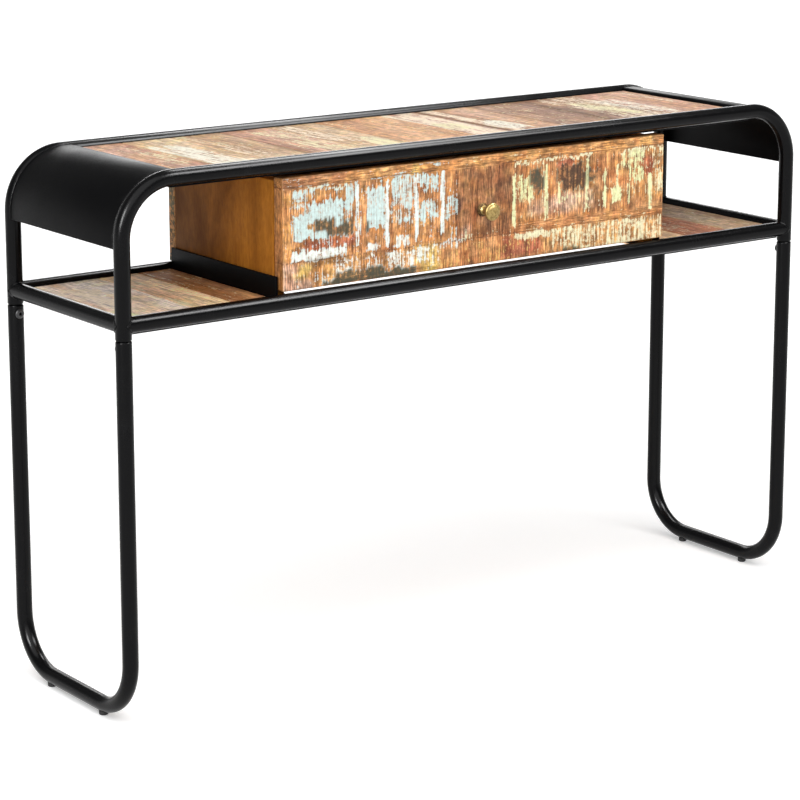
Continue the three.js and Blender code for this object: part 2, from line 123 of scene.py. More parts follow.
def new_piece(name, shape, material, body, slot, replaced=(), bevel=0.0, merge=False, sharp=35):
    """Makes one piece from points in millimetres and faces, and ties it to its CAD body."""
    points, faces = shape
    mesh = bpy.data.meshes.new(name)
    mesh.from_pydata((np.asarray(points) * MM).tolist(), [], [tuple(f) for f in faces])
    bm = bmesh.new()
    bm.from_mesh(mesh)
    if merge:
        bmesh.ops.remove_doubles(bm, verts=bm.verts, dist=MERGE_REACH * MM)
    bmesh.ops.recalc_face_normals(bm, faces=bm.faces)
    if bevel:
        edges = [e for e in bm.edges if e.calc_face_angle(0) > BEVEL_FROM]
        bmesh.ops.bevel(bm, geom=edges, offset=bevel * MM, segments=3, profile=0.5, affect="EDGES")
    bm.to_mesh(mesh)
    bm.free()
    mesh.shade_smooth()
    mesh.set_sharp_from_angle(angle=math.radians(sharp))
    mesh.materials.append(material)
    piece = add_object(name, mesh)
    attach(piece, body)
    if replaced:
        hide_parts(*replaced)
    return piece


def skin(rings, closed=False):
    """Points and faces of a surface through rings of points; closed joins the last to the first."""
    count = len(rings[0])
    faces = []
    for i in range(len(rings) if closed else len(rings) - 1):
        a, b = i * count, (i + 1) % len(rings) * count
        faces += [(a + j, a + (j + 1) % count, b + (j + 1) % count, b + j) for j in range(count)]
    return np.concatenate(rings), faces


def joined(shapes):
    """Several shapes as one."""
    points, faces, start = [], [], 0
    for some_points, some_faces in shapes:
        points.append(some_points)
        faces += [tuple(i + start for i in face) for face in some_faces]
        start += len(some_points)
    return np.concatenate(points), faces


def unit(vector):
    return vector / np.linalg.norm(vector)


def circle(centre, side, up, radius, sides=TUBE_SIDES):
    turn = np.arange(sides)[:, None] * 2 * math.pi / sides
    return centre + radius * (np.cos(turn) * side + np.sin(turn) * up)


def rounded_route(corners, radius):
    """Stations (point, direction) along a line whose corners are rounded."""
    corners = [np.array(c, float) for c in corners]
    stations = [(corners[0], unit(corners[1] - corners[0]))]
    for before, corner, after in zip(corners, corners[1:], corners[2:]):
        back, on = unit(before - corner), unit(after - corner)
        centre = corner + radius * (back + on)
        for k in range(BEND_STEPS + 1):
            turn = math.pi / 2 * k / BEND_STEPS
            point = centre - radius * (on * math.cos(turn) + back * math.sin(turn))
            stations.append((point, on * math.sin(turn) - back * math.cos(turn)))
    stations.append((corners[-1], unit(corners[-1] - corners[-2])))
    return stations


def bent_tube(corners, plane_normal):
    """A hollow tube with rounded ends, bent in one plane."""
    route = rounded_route(corners, BEND_R)

    def ring(point, direction, radius):
        return circle(point, np.cross(plane_normal, direction), plane_normal, radius)

    def lip(point, direction, inward):
        rings = []
        for k in range(LIP_STEPS + 1):
            turn = math.pi / 2 * k / LIP_STEPS
            place = point + inward * direction * LIP_R * (1 - math.cos(turn))
            rings.append(ring(place, direction, TUBE_R - LIP_R * (1 - math.sin(turn))))
        return rings

    rings = lip(*route[0], 1)
    rings += [ring(point, direction, TUBE_R) for point, direction in route[1:-1]]
    rings += lip(*route[-1], -1)[::-1]
    rings += [ring(point, direction, TUBE_R - TUBE_WALL) for point, direction in route[::-1]]
    return skin(rings, closed=True)


def cope_line(base, along, side, radius, cope):
    """The saddle curve where a tube meets the tube that it is welded to."""
    points = circle(base, side, Z, radius)
    across, rise = (points - base) @ side, (points - base) @ Z
    return points + np.outer(cope(across, rise), along)


def post_cope(across, rise):
    """Meets the post, at the same distance whatever the rise."""
    return np.sqrt(np.maximum(TUBE_R ** 2 - across ** 2, 0))


def corner_cope(across, rise):
    """Meets the post, and on the inner half the long rail beside it."""
    rail = np.sqrt(np.maximum(TUBE_R ** 2 - rise ** 2, 0))
    return np.maximum(post_cope(across, rise), np.where(across > 0, rail, 0))


def coped_rail(start, end, side, cope):
    """A hollow rail whose ends are cut to the shape of the tubes that it meets."""
    along = unit(end - start)
    inner = TUBE_R - TUBE_WALL
    return skin([
        cope_line(start, along, side, TUBE_R, cope),
        cope_line(end, -along, side, TUBE_R, cope),
        cope_line(end, -along, side, inner, cope),
        cope_line(start, along, side, inner, cope),
    ], closed=True)


def bead(points, outward, closed=True):
    """A weld bead: a small rippled tube along a line of points."""
    points = np.asarray(points)
    if closed:
        tangent = np.roll(points, -1, 0) - np.roll(points, 1, 0)
    else:
        tangent = np.gradient(points, axis=0)
    tangent /= np.linalg.norm(tangent, axis=1)[:, None]
    side = np.cross(tangent, outward)
    side /= np.linalg.norm(side, axis=1)[:, None]
    up = np.cross(side, tangent)
    travel = np.cumsum(np.linalg.norm(np.diff(points, axis=0, prepend=points[:1]), axis=1))
    size = WELD_R * (1 + 0.13 * np.sin(2 * math.pi * travel / WELD_RIPPLE))
    if not closed:
        size[0] = size[-1] = 0
    rings = [circle(p, s, u, r, WELD_SIDES) for p, s, u, r in zip(points, side, up, size)]
    return skin(rings, closed)


def prism(outline, y0, y1):
    """An outline in X and Z, extruded along Y."""
    count = len(outline)
    rings = [np.array([(x, y, z) for x, z in outline], float) for y in (y0, y1)]
    points, faces = skin(rings)
    return points, faces + [tuple(range(count)), tuple(range(2 * count - 1, count - 1, -1))]


def box_outline(low, high):
    return [(low[0], low[2]), (high[0], low[2]), (high[0], high[2]), (low[0], high[2])]


def block_piece(node, suffix, *look, bevel):
    """A straight bar or panel that fills the box of its CAD node."""
    low, high = node_box(node)
    shape = prism(box_outline(low, high), low[1], high[1])
    new_piece(node + suffix, shape, *look, [node], bevel=bevel)


def turned(profile, origin, axis, sides=TUBE_SIDES):
    """A body of revolution. Each step of the profile is (radius, distance along the axis), and a
    third entry is a function of the angle that scales its radius."""
    side = Z if abs(axis[2]) < 0.5 else X
    up = np.cross(axis, side)
    turn = np.arange(sides) * 2 * math.pi / sides
    rings = []
    for radius, along, *scale in profile:
        reach = radius * (scale[0](turn) if scale else np.ones(sides))
        spread = reach[:, None] * (np.cos(turn)[:, None] * side + np.sin(turn)[:, None] * up)
        rings.append(origin + axis * along + spread)
    return skin(rings)


def hexagon(turn):
    """Scales a circle to a hexagon."""
    sixth = math.pi / 3
    return math.cos(sixth / 2) / np.cos(turn % sixth - sixth / 2)


def soft_noise(points, cell, seed):
    """Smooth random values from 0 to 1, one for each point; cell is the size of the bumps."""
    table = np.random.default_rng(seed).random((NOISE_SIZE, NOISE_SIZE, NOISE_SIZE))
    place = np.asarray(points) / cell
    base = np.floor(place).astype(int)
    part = place - base
    part = part * part * (3 - 2 * part)
    total = np.zeros(len(place))
    for corner in np.ndindex(2, 2, 2):
        weight = np.prod(np.where(corner, part, 1 - part), axis=1)
        total += weight * table[tuple(((base + corner) % NOISE_SIZE).T)]
    return total


def ticks(low, high, cell, ease):
    """Places along one side of a board: close together at the eased arrises, then a cell apart."""
    count = max(1, round((high - low - 2 * ease) / cell))
    body = np.linspace(low + ease, high - ease, count + 1)
    arris = ease * np.array([0, 0.35, 0.7])
    return np.concatenate([low + arris, body, (high - arris)[::-1]])


def lattice(axes):
    """The surface of a block, divided at the given places along X, Y and Z."""
    grid = np.stack(np.meshgrid(*axes, indexing="ij"), -1)
    surface = np.zeros(grid.shape[:3], bool)
    for axis in range(3):
        for end in (0, -1):
            np.moveaxis(surface, axis, 0)[end] = True
    index = np.full(surface.shape, -1)
    index[surface] = np.arange(surface.sum())
    quads = []
    for axis in range(3):
        for end in (0, -1):
            side = np.moveaxis(index, axis, 0)[end]
            corners = [side[:-1, :-1], side[1:, :-1], side[1:, 1:], side[:-1, 1:]]
            quads.append(np.stack(corners, -1).reshape(-1, 4))
    return grid[surface], np.concatenate(quads).tolist()


# ---------------- colours and looks of boards

def linear(red, green, blue):
    """A display colour of 0 to 255 as scene-linear values."""
    value = np.array([red, green, blue]) / 255
    return np.where(value <= 0.04045, value / 12.92, ((value + 0.055) / 1.055) ** 2.4)


def smooth(t):
    t = np.clip(t, 0, 1)
    return t * t * (3 - 2 * t)


COLOURS = {name: linear(*value) for name, value in {
    "sky": (196, 217, 214), "chalk": (226, 233, 226), "cream": (228, 222, 184),
    "lime": (222, 226, 172), "frost": (214, 222, 214), "slate": (66, 66, 52), "umber": (70, 50, 36),
    "yellow": (216, 176, 104), "ochre": (204, 146, 90), "orange": (196, 136, 86),
    "rust": (176, 102, 72), "brown": (172, 118, 78), "dark_brown": (110, 72, 58),
    "pink_tan": (206, 162, 134), "tan": (208, 174, 142), "pale_tan": (214, 182, 149),
    "apricot": (223, 173, 133), "rose": (204, 158, 136), "grey_tan": (166, 128, 106),
    "lilac": (250, 230, 214), "sand": (248, 212, 172), "parchment": (246, 229, 203),
    "ivory": (243, 238, 221), "straw": (236, 228, 186), "russet": (188, 118, 82),
    "moss": (74, 76, 58), "walnut": (186, 124, 68),
}.items()}

# A stretch of a board's face between left and right and between low and high. amount is how much
# of it the colour covers, and a stretch called bare only has an amount.
Patch = namedtuple("Patch", "colour left right low high amount")


def patch_list(rows):
    return [Patch(*row) for row in rows]


def patch_weight(u, v, patch, soft):
    inside_u = np.minimum(u - patch.left, patch.right - u)
    inside_v = np.minimum(v - patch.low, patch.high - v)
    return smooth(np.minimum(inside_u, inside_v) / soft + 0.5)


def paint_over(u, v, base, patches, soft):
    """Colours and amounts of patches laid one over the other on a base colour."""
    colour = np.tile(base, (len(u), 1))
    amount = np.zeros(len(u))
    for patch in patches:
        weight = patch_weight(u, v, patch, soft)
        if patch.colour != "bare":
            colour += (COLOURS[patch.colour] - colour) * weight[:, None]
        amount += (patch.amount - amount) * weight
    return colour, amount


def set_colour(mesh, name, rgb, alpha):
    values = np.column_stack([rgb, alpha]).astype(np.float32)
    mesh.attributes.new(name, "FLOAT_COLOR", "POINT").data.foreach_set("color", values.ravel())


def board(name, box, cell, ease, look, material, body, slot, replaced, wear=0.25, seams=()):
    """A board with eased, worn arrises. look(points) gives its wood and paint colours, how much
    paint is left, how dirty it is and how far its grain is turned across. A seam is a groove:
    its axis, its place and half its width."""
    low, high = box
    axes = [ticks(low[i], high[i], cell[i], ease) for i in range(3)]
    for axis, place, half in seams:
        close = place + half * np.array([-1, -0.5, 0, 0.5, 1])
        axes[axis] = np.sort(np.concatenate([axes[axis], close]))
    points, faces = lattice(axes)
    core = np.clip(points, low + ease, high - ease)
    outward = points - core
    outward /= np.linalg.norm(outward, axis=1)[:, None]
    points = core + outward * ease
    wood, paint, cover, dirt, turned_grain = look(points)
    arris = np.clip((1 - np.abs(outward).max(1)) / 0.25, 0, 1)
    hollow = soft_noise(points, np.array(cell) * 5, 3) + 2.5 * arris * soft_noise(points, 9.0, 4)
    depth = wear * hollow
    for axis, place, half in seams:
        groove = smooth(1 - np.abs(points[:, axis] - place) / half)
        depth = depth + 0.5 * groove
        dirt = dirt + 0.45 * groove
    points = points - outward * depth[:, None]
    piece = new_piece(name, (points, faces), material, body, slot, replaced, sharp=50)
    set_colour(piece.data, "wood", wood, turned_grain)
    set_colour(piece.data, "paint", paint, cover)
    set_colour(piece.data, "wear", np.column_stack([dirt, arris, arris]), 1 + 0 * dirt)
    return piece


# ---------------- shader helpers

class Shader:
    """A node material with one Principled shader."""

    def __init__(self, name, **fixed):
        self.material = bpy.data.materials.new(name)
        self.material.use_nodes = True
        self.tree = self.material.node_tree
        self.surface = self.tree.nodes["Principled BSDF"]
        for socket, value in fixed.items():
            self.surface.inputs[socket.replace("_", " ")].default_value = value

    def node(self, kind, inputs=(), **settings):
        made = self.tree.nodes.new("ShaderNode" + kind)
        for key, value in settings.items():
            setattr(made, key, value)
        for key, value in dict(inputs).items():
            self.feed(made.inputs[key], value)
        return made

    def feed(self, socket, value):
        if isinstance(value, bpy.types.NodeSocket):
            self.tree.links.new(value, socket)
        else:
            socket.default_value = value

    def place(self, stretch=(1, 1, 1)):
        where = self.node("TexCoord").outputs["Object"]
        return self.node("Mapping", {"Vector": where, "Scale": stretch}).outputs[0]

    def noise(self, where, scale, detail=3.0, roughness=0.55, distortion=0.0):
        inputs = {"Vector": where, "Scale": scale, "Detail": detail,
                  "Roughness": roughness, "Distortion": distortion}
        return self.node("TexNoise", inputs).outputs[0]

    def math(self, operation, a, b=0.0, c=0.0):
        return self.node("Math", {0: a, 1: b, 2: c}, operation=operation).outputs[0]

    def span(self, value, from_low, from_high, low=0.0, high=1.0, curve="SMOOTHSTEP"):
        inputs = {"Value": value, "From Min": from_low, "From Max": from_high,
                  "To Min": low, "To Max": high}
        return self.node("MapRange", inputs, interpolation_type=curve).outputs[0]

    def mix(self, share, a, b, blend="MIX"):
        """Colour a at a share of 0 and colour b at 1."""
        made = self.node("Mix", {0: share, 6: a, 7: b}, data_type="RGBA", blend_type=blend)
        return made.outputs[2]

    def blend(self, share, a, b):
        """Number a at a share of 0 and number b at 1."""
        return self.node("Mix", {0: share, 2: a, 3: b}, data_type="FLOAT").outputs[0]

    def shade(self, colour, value):
        """A colour multiplied by a number."""
        return self.node("VectorMath", {0: colour, 3: value}, operation="SCALE").outputs[0]

    def tint(self, colour, factors):
        """A colour multiplied by another colour."""
        return self.mix(1.0, colour, rgba(factors), "MULTIPLY")

    def bump(self, height, strength, distance):
        inputs = {"Height": height, "Strength": strength, "Distance": distance}
        return self.node("Bump", inputs).outputs[0]

    def finish(self, **linked):
        for socket, value in linked.items():
            self.feed(self.surface.inputs[socket.replace("_", " ")], value)
        return self.material


def rgba(colour):
    return (*colour, 1.0)


# ---------------- materials

def coated_steel(name, base, roughness, specular):
    """Black powder coat: fine orange peel, faint dust and small changes in gloss."""
    s = Shader(name, IOR=1.45, Specular_IOR_Level=specular)
    where = s.place()
    cloud = s.noise(where, 9, 4)
    peel = s.noise(where, 1400, 2)
    speck = s.noise(where, 420, 4)
    dusty = s.span(s.noise(where, 26, 6, 0.7), 0.55, 0.8)
    dark = rgba(linear(*base))
    pale = rgba(linear(*[value + 14 for value in base]))
    colour = s.mix(s.math("MULTIPLY", dusty, 0.5), dark, pale)
    gloss = s.math("ADD", s.span(cloud, 0.3, 0.7, roughness - 0.04, roughness + 0.05),
                   s.span(speck, 0.45, 0.75, 0, 0.08))
    height = s.math("ADD", s.math("MULTIPLY", peel, 0.6), s.math("MULTIPLY", speck, 0.4))
    return s.finish(Base_Color=colour, Roughness=gloss, Normal=s.bump(height, 0.14, 0.0003))


def bare_metal(name, dark, bright, roughness):
    """Cast or turned metal: tarnish and painted shade in its hollows, polish on its high places."""
    s = Shader(name, Metallic=1.0)
    where = s.place()
    tarnish = s.span(s.noise(where, 240, 5, 0.65), 0.35, 0.7)
    # Ambient occlusion darkens the hollows, partly as tarnish and partly as painted shade.
    hollow_tarnish_and_shade = s.span(s.node("AmbientOcclusion", {"Distance": 0.008}, samples=8).outputs[1], 0.35, 0.95)
    fine = s.noise(where, 1900, 3)
    worn = s.mix(tarnish, rgba(linear(*bright)), rgba(linear(*dark)))
    colour = s.mix(hollow_tarnish_and_shade, rgba(linear(*dark) * 0.3), worn)
    gloss = s.span(tarnish, 0, 1, roughness, roughness + 0.22)
    return s.finish(Base_Color=colour, Roughness=gloss, Normal=s.bump(fine, 0.25, 0.0002))


def moulded_plastic(name):
    s = Shader(name, Specular_IOR_Level=0.4)
    where = s.place()
    scuff = s.span(s.noise(where, 300, 5, 0.7), 0.5, 0.75)
    colour = s.mix(scuff, rgba(linear(20, 20, 21)), rgba(linear(52, 51, 49)))
    height = s.noise(where, 2200, 2)
    return s.finish(Base_Color=colour, Roughness=s.span(scuff, 0, 1, 0.5, 0.75),
                    Normal=s.bump(height, 0.3, 0.0002))


def plain_wood(name, light, dark, stretch, painted_light_and_shade=(1.0, 1.0)):
    """Planed, oiled wood without paint. stretch is small along the grain, and the last argument
    multiplies the colour at the front and at the back, as painted light and painted shade."""
    s = Shader(name, Specular_IOR_Level=0.04)
    where = s.place(stretch)
    broad = s.noise(where, 22, 4, 0.6, 0.6)
    rings = s.span(s.noise(where, 70, 3, 0.5, 1.2), 0.4, 0.62)
    fine = s.noise(where, 520, 4, 0.65)
    pores = s.span(s.noise(where, 900, 2), 0.62, 0.72)
    colour = s.mix(s.span(broad, 0.3, 0.7), rgba(linear(*light)), rgba(linear(*dark)))
    colour = s.mix(s.math("MULTIPLY", rings, 0.22), colour, rgba(linear(*dark) * 0.7))
    colour = s.shade(colour, s.span(fine, 0.25, 0.75, 0.84, 1.12))
    # Painted light and shade: the colour is multiplied by how far forward or back it lies.
    depth = s.node("SeparateXYZ", {0: s.place()}).outputs[1]
    colour = s.shade(colour, s.span(depth, FRONT_Y * MM, REAR_Y * MM, *painted_light_and_shade))
    colour = s.mix(s.math("MULTIPLY", pores, 0.4), colour, rgba(linear(*dark) * 0.4))
    height = s.math("SUBTRACT", fine, s.math("MULTIPLY", pores, 0.8))
    gloss = s.span(broad, 0.2, 0.8, 0.42, 0.58)
    return s.finish(Base_Color=colour, Roughness=gloss, Normal=s.bump(height, 0.3, 0.0004))


# What the board's own colours say, and the noises that its wood and its paint share.
Marks = namedtuple("Marks", "wood paint cover dirt arris streak saw broad fine crack pores grit "
                            "flake blotch")


def wood_marks(s, along, across, plain, streak_size):
    wood = s.node("Attribute", attribute_name="wood")
    paint = s.node("Attribute", attribute_name="paint")
    wear = s.node("Attribute", attribute_name="wear")
    dirt, arris = s.node("SeparateColor", {0: wear.outputs["Color"]}).outputs[:2]

    def both(scale, detail, distortion=0.0):
        """The same noise run along the grain or across it, as the board says."""
        return s.blend(wood.outputs["Alpha"], s.noise(along, scale, detail, 0.6, distortion),
                       s.noise(across, scale, detail, 0.6, distortion))

    return Marks(
        wood=wood.outputs["Color"], paint=paint.outputs["Color"], cover=paint.outputs["Alpha"],
        dirt=dirt, arris=arris, streak=both(streak_size, 4), saw=both(streak_size * 1.8, 3),
        broad=both(46, 4, 0.8), fine=both(900, 3), crack=s.span(both(210, 5, 0.4), 0.62, 0.68),
        pores=s.span(both(480, 3), 0.6, 0.66), grit=s.noise(plain, 900, 3),
        flake=s.noise(plain, 170, 5, 0.65), blotch=s.noise(plain, 42, 4, 0.6))


def bare_wood(s, marks, mottle, contrast):
    """The wood's own colour, with saw marks, golden blotches, dark streaks and cracks."""
    low, high = 1 - contrast, 1 + 0.7 * contrast
    bare = s.shade(marks.wood, s.span(marks.broad, 0.28, 0.72, 0.8, 1.14))
    bare = s.shade(bare, s.span(marks.saw, 0.32, 0.68, low, high))
    bare = s.shade(bare, s.span(marks.fine, 0.3, 0.7, low, high))
    bare = s.shade(bare, s.span(mottle, 0.32, 0.68, low, high))
    bare = s.mix(s.span(marks.blotch, 0.45, 0.62), bare, s.tint(bare, (1.05, 1.06, 0.88)))
    deep = s.tint(bare, (0.42, 0.27, 0.18))
    bare = s.mix(s.math("MULTIPLY", s.span(marks.streak, 0.5, 0.66), 1.5 * contrast), bare, deep)
    return s.mix(s.math("MULTIPLY", marks.crack, 0.7), bare, deep)


def paint_left(s, marks):
    """How much paint is left: what the board says, broken up by the noises and worn off arrises."""
    left = s.math("MULTIPLY_ADD", marks.cover, 0.6, 0.2)
    for value, reach in ((marks.streak, 0.36), (marks.saw, 0.3), (marks.flake, 0.34),
                         (marks.blotch, 0.2), (marks.grit, 0.08)):
        left = s.math("ADD", left, s.span(value, 0.25, 0.75, -reach, reach, "LINEAR"))
    return s.math("SUBTRACT", left, s.math("MULTIPLY", marks.arris, 0.5))


def painted(s, marks, bare, left, mask, contrast):
    """Chalky, thin paint over bare wood, and pores that stain both."""
    chalky = s.shade(marks.paint, s.span(marks.flake, 0.3, 0.7, 0.88, 1.06))
    chalky = s.shade(chalky, s.span(marks.saw, 0.3, 0.7, 1 - 0.3 * contrast, 1.0))
    thin = s.span(left, 0.5, 0.9, 0.7, 0.97)
    colour = s.mix(s.math("MULTIPLY", mask, thin), bare, chalky)
    stained = s.tint(colour, (0.4, 0.28, 0.2))
    return s.mix(s.math("MULTIPLY", marks.pores, 1.5 * contrast), colour, stained)


def soiled(s, marks, colour, patchy):
    """Dirt where the board says, and arrises rubbed back to clean wood."""
    soil = s.math("MULTIPLY", marks.dirt, s.span(patchy, 0.25, 0.6, 0.35, 1.0))
    colour = s.mix(soil, colour, s.tint(colour, (0.22, 0.15, 0.1)))
    rubbed = s.math("MULTIPLY", marks.arris, s.span(marks.flake, 0.35, 0.6, 0, 0.55))
    return s.mix(rubbed, colour, rgba(linear(212, 164, 112)))


def wood_relief(s, marks, mask):
    height = s.math("ADD", s.math("MULTIPLY", mask, 0.55), s.math("MULTIPLY", marks.fine, 0.3))
    height = s.math("SUBTRACT", height, s.math("MULTIPLY", marks.crack, 0.8))
    return s.math("ADD", height, s.math("MULTIPLY", marks.streak, 0.5))


def reclaimed_wood(name, grain, cross, streak_size, contrast, specular):
    """Old boards under what is left of their paint. grain and cross are stretches that are small
    along the grain and along the saw marks; contrast is how strong the saw marks are."""
    s = Shader(name, Specular_IOR_Level=specular)
    along, across, plain = s.place(grain), s.place(cross), s.place()
    marks = wood_marks(s, along, across, plain, streak_size)
    bare = bare_wood(s, marks, s.noise(plain, 100, 4, 0.65), contrast)
    left = paint_left(s, marks)
    mask = s.span(left, 0.46, 0.56)
    colour = painted(s, marks, bare, left, mask, contrast)
    colour = soiled(s, marks, colour, s.noise(along, 90, 4))
    gloss = s.math("ADD", s.span(mask, 0, 1, 0.58, 0.64), s.span(marks.grit, 0.3, 0.7, -0.05, 0.06))
    relief = s.bump(wood_relief(s, marks, mask), 0.55, 0.0006)
    return s.finish(Base_Color=colour, Roughness=gloss, Normal=relief)


POWDER_COAT = coated_steel("powder_coat", (6, 6, 7), 0.2, 0.12)
SHEET_COAT = coated_steel("sheet_coat", (6, 6, 7), 0.4, 0.05)
BLACK_SCREW = coated_steel("black_screw", (44, 44, 46), 0.28, 0.5)
GLIDE_PLASTIC = moulded_plastic("glide_plastic")
AGED_BRASS = bare_metal("aged_brass", (118, 98, 57), (164, 142, 92), 0.38)
# The rosette's brass is a darker copy of the knob's brass: painted shade from the knob.
ROSETTE_SHADE_BRASS = bare_metal("rosette_shade_brass", (44, 33, 25), (98, 76, 48), 0.38)
ZINC = bare_metal("zinc_screw", (120, 118, 112), (190, 190, 186), 0.3)
PLANK_WOOD = reclaimed_wood("plank_wood", (1, 0.06, 1), (0.06, 1, 1), 190, 0.25, 0.03)
FRONT_WOOD = reclaimed_wood("front_wood", (1, 1, 0.06), (0.07, 1, 1), 250, 0.42, 0.2)
BACK_WOOD = reclaimed_wood("back_wood", (0.05, 1, 1), (1, 1, 0.05), 110, 0.2, 0.25)
# The housing sides are painted lighter at the front and darker at the back: painted light and painted
# shade.
PANEL_WOOD = plain_wood("panel_wood", (178, 114, 38), (124, 74, 22), (1, 0.5, 0.16), (1.15, 0.55))
BOX_WOOD = plain_wood("box_wood", (186, 142, 96), (150, 104, 62), (1, 0.06, 1))
BOX_END_WOOD = plain_wood("box_end_wood", (186, 142, 96), (146, 100, 60), (0.06, 1, 1))


# ---------------- steel frame

def steel_tube(node, shape):
    new_piece(node + "_tube", shape, POWDER_COAT, "frame", "frame_steel", [node])


def make_hoops_and_legs():
    for row, y in ROWS.items():
        node = row + "_hoop"
        foot = node_box(node)[0][2]
        corners = [(-POST_X, y, foot), (-POST_X, y, TOP_Z), (POST_X, y, TOP_Z), (POST_X, y, foot)]
        steel_tube(node, bent_tube(corners, Y))
    for hand, x in POSTS.items():
        node = hand + "_leg_loop"
        top = node_box(node)[1][2]
        corners = [(x, FRONT_Y, top), (x, FRONT_Y, FOOT_Z), (x, REAR_Y, FOOT_Z), (x, REAR_Y, top)]
        steel_tube(node, bent_tube(corners, X))


def make_lower_rails():
    """The lower rails, and the lines where they are welded to the posts."""
    lines = []
    for row, y in ROWS.items():
        left, right = [np.array([x, y, RAIL_Z]) for x in POSTS.values()]
        steel_tube(row + "_lower_rail", coped_rail(left, right, Y, post_cope))
        lines.append(cope_line(left, X, Y, TUBE_R, post_cope))
        lines.append(cope_line(right, -X, Y, TUBE_R, post_cope))
    for hand, x in POSTS.items():
        inward = X if x < 0 else -X
        front, rear = [np.array([x, y, RAIL_Z]) for y in ROWS.values()]
        steel_tube(hand + "_lower_rail", coped_rail(front, rear, inward, corner_cope))
        lines.append(cope_line(front, Y, inward, TUBE_R, corner_cope))
        lines.append(cope_line(rear, -Y, inward, TUBE_R, corner_cope))
    return lines


def sheet_line(side, offset):
    """The end sheet's section at a distance from its middle surface: lip, round corner, flat
    edge, bend, skirt. side is -1 on the left."""
    middle = SHEET_R - SHEET_THICK / 2
    lip_x = LIP_X + SHEET_THICK / 2
    crown = BEND_Z + middle - SHEET_CORNER
    points = [(lip_x, SHEET_HIGH[2] - SHEET_LIP, -1, 0), (lip_x, crown, -1, 0)]
    for k in range(1, SHEET_CORNER_STEPS):
        turn = math.pi / 2 * k / SHEET_CORNER_STEPS
        points.append((lip_x + SHEET_CORNER * (1 - math.cos(turn)), crown + SHEET_CORNER * math.sin(turn),
                       -math.cos(turn), math.sin(turn)))
    for k in range(SHEET_STEPS + 1):
        turn = math.pi / 2 * k / SHEET_STEPS
        points.append((BEND_X + middle * math.sin(turn), BEND_Z + middle * math.cos(turn),
                       math.sin(turn), math.cos(turn)))
    points.append((BEND_X + middle, SHEET_LOW[2], 1, 0))
    return [(side * (x + nx * offset), z + nz * offset) for x, z, nx, nz in points]


def make_end_sheets():
    """The curved end sheets, and the seams where they meet the hoops."""
    seams = []
    half = SHEET_THICK / 2
    sink = 0.2
    inset = 0.6
    reach = math.sqrt(TUBE_R ** 2 - (SHEET_R - BEND_R - half) ** 2)
    for hand, side in (("left", -1), ("right", 1)):
        outline = sheet_line(side, half) + sheet_line(side, -half)[::-1]
        shape = prism(outline, FRONT_Y + reach, REAR_Y - reach)
        node = hand + "_end_sheet"
        new_piece(node + "_skin", shape, SHEET_COAT, "frame", "sheet_steel", [node], bevel=0.4)
        beyond_lip = sheet_line(side, half - sink)[SHEET_CORNER_STEPS:]
        for y in (FRONT_Y + reach - inset, REAR_Y - reach + inset):
            seams.append(np.array([(x, y, z) for x, z in beyond_lip]))
    return seams


def make_welds(rail_lines, sheet_seams):
    shapes = [bead(line, line - line.mean(0)) for line in rail_lines]
    for seam in sheet_seams:
        fine = np.linspace(0, len(seam) - 1, SEAM_STEPS)
        seam = np.column_stack([np.interp(fine, np.arange(len(seam)), seam[:, i]) for i in range(3)])
        shapes.append(bead(seam, np.tile(Y, (len(seam), 1)), closed=False))
    new_piece("frame_welds", joined(shapes), POWDER_COAT, "frame", "frame_steel", merge=True, sharp=80)


def make_ledges_and_angles():
    for node in ("front_top_ledge", "rear_top_ledge", "front_shelf_ledge", "rear_shelf_ledge"):
        block_piece(node, "_bar", SHEET_COAT, "frame", "frame_steel", bevel=0.5)
    for hand, side in (("left", -1), ("right", 1)):
        node = hand + "_drawer_angle"
        low, high = node_box(node)
        outer, inner = (low[0], high[0]) if side < 0 else (high[0], low[0])
        upright, flat = outer - side * ANGLE_THICK, low[2] + ANGLE_THICK
        outline = [(inner, low[2]), (outer, low[2]), (outer, high[2]), (upright, high[2]),
                   (upright, flat), (inner, flat)]
        shape = prism(outline, low[1], high[1])
        new_piece(node + "_iron", shape, SHEET_COAT, "frame", "frame_steel", [node], bevel=0.7)


# ---------------- leg fittings

def leg_fittings(kind):
    """Row, hand, name and box of the four CAD nodes of one kind, one at each leg."""
    for row in ROWS:
        for hand in POSTS:
            node = f"{row}_{hand}_{kind}"
            yield row, hand, node, *node_box(node)


def make_spigots():
    for row, hand, node, low, high in leg_fittings("spigot"):
        radius, length = (high[0] - low[0]) / 2, high[2] - low[2]
        slim = radius - SPIGOT_CHAMFER
        profile = [(0, 0), (slim, 0), (radius, SPIGOT_CHAMFER), (radius, length - SPIGOT_CHAMFER),
                   (slim, length), (0, length)]
        shape = turned(profile, np.array([POSTS[hand], ROWS[row], low[2]]), Z)
        new_piece(node + "_pin", shape, SHEET_COAT, "frame", "frame_steel", [node], merge=True)


def button_head(radius, height):
    """The profile of a domed screw head with a hexagon socket, from the socket outwards."""
    socket = radius * 0.42
    dome = [(radius * math.cos(a), 0.25 * height + 0.75 * height * math.sin(a) ** 1.2)
            for a in np.linspace(0, 1.02, 9)]
    inner = dome[-1]
    floor = -0.3 * height
    return [(0, floor), (socket * 0.98, floor, hexagon), (socket, floor + 0.2, hexagon),
            (socket, inner[1] - 0.15, hexagon), (socket + 0.35, inner[1])] + dome[::-1] + [(radius, 0.1)]


